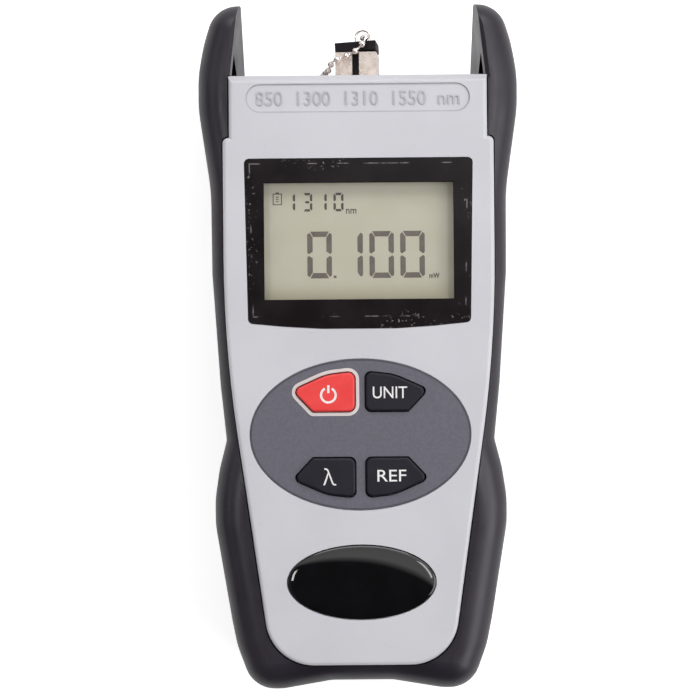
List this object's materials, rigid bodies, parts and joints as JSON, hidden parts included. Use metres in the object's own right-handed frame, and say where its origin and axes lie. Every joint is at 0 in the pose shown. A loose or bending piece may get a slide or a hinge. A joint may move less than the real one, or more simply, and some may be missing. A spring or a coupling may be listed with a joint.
{
  "type": "optical power meter",
  "caption": "Handheld fibre-optic power meter: tapered case with display and keypad in a horned rubber boot, with a square fibre port under a chained dust cap.",
  "frame": {"origin": "middle of the boot's back face, which the meter lies on, halfway along its length", "axes": "+X to the right of the display, +Y along the length towards the horns and the fibre port, +Z out of the front face"},
  "size_m": [0.0866, 0.1854, 0.0417],
  "materials": {
    "boot_rubber": "fine matt grain",
    "cover_plastic": "fine spark-eroded texture",
    "window_acrylic": "clear, polished",
    "gasket_black": "satin",
    "lcd_glass": "satin polariser",
    "frame_plastic": "moulded",
    "board_laminate": "solder mask",
    "chip_epoxy": "moulded",
    "contact_metal": "gold flash",
    "silicone": "matt",
    "panel_plastic": "fine texture",
    "label_black": "gloss",
    "clear_resin": "clear, domed",
    "nickel": "bright nickel plate",
    "zirconia": "polished",
    "cap_rubber": "satin",
    "cell_jacket": "printed jacket",
    "screw_steel": "zinc plated",
    "key_red": "satin",
    "key_black": "satin"
  },
  "bodies": {
    "meter": {"boot": "boot_rubber", "rear_cover": "cover_plastic", "front_cover": "cover_plastic", "display_window": "window_acrylic", "window_gasket": "gasket_black", "lcd_panel": "lcd_glass", "lcd_frame": "frame_plastic", "contact_strips": "gasket_black", "main_board": "board_laminate", "board_chips": "chip_epoxy", "dome_switches": "contact_metal", "key_mat": "silicone", "keypad_panel": "panel_plastic", "badge_label": "label_black", "badge_dome": "clear_resin", "detector_housing": "nickel", "photodiode": "contact_metal", "adapter_body": "nickel", "ferrule_sleeve": "zirconia", "bead_chain": "nickel", "chain_anchor": "nickel", "battery_cells": "cell_jacket", "battery_contacts": "contact_metal", "case_screws": "screw_steel", "board_screws": "screw_steel", "port_screws": "screw_steel"},
    "cap": {"dust_cap": "cap_rubber", "cap_ring": "nickel"},
    "door": {"battery_door": "cover_plastic"},
    "power_key": {"power_key": "key_red"},
    "unit_key": {"unit_key": "key_black"},
    "wavelength_key": {"wavelength_key": "key_black"},
    "reference_key": {"reference_key": "key_black"}
  },
  "joints": [
    {"name": "power_key_press", "type": "slide", "parent": "meter", "child": "power_key", "axis": [0, 0, -1], "range_m": [0, 0.0008], "stiffness_N_per_m": 300, "springref_m": -0.001, "deforming": ["key_mat"]},
    {"name": "unit_key_press", "type": "slide", "parent": "meter", "child": "unit_key", "axis": [0, 0, -1], "range_m": [0, 0.0008], "stiffness_N_per_m": 300, "springref_m": -0.001, "deforming": ["key_mat"]},
    {"name": "wavelength_key_press", "type": "slide", "parent": "meter", "child": "wavelength_key", "axis": [0, 0, -1], "range_m": [0, 0.0008], "stiffness_N_per_m": 300, "springref_m": -0.001, "deforming": ["key_mat"]},
    {"name": "reference_key_press", "type": "slide", "parent": "meter", "child": "reference_key", "axis": [0, 0, -1], "range_m": [0, 0.0008], "stiffness_N_per_m": 300, "springref_m": -0.001, "deforming": ["key_mat"]},
    {"name": "cap_pull", "type": "slide", "parent": "meter", "child": "cap", "axis": [0, 1, 0], "range_m": [0, 0.014], "deforming": ["bead_chain"]},
    {"name": "door_swing", "type": "hinge", "parent": "meter", "child": "door", "pos_m": [0, 0.0035, 0.0031], "axis": [1, 0, 0], "range_deg": [0, 95]}
  ]
}
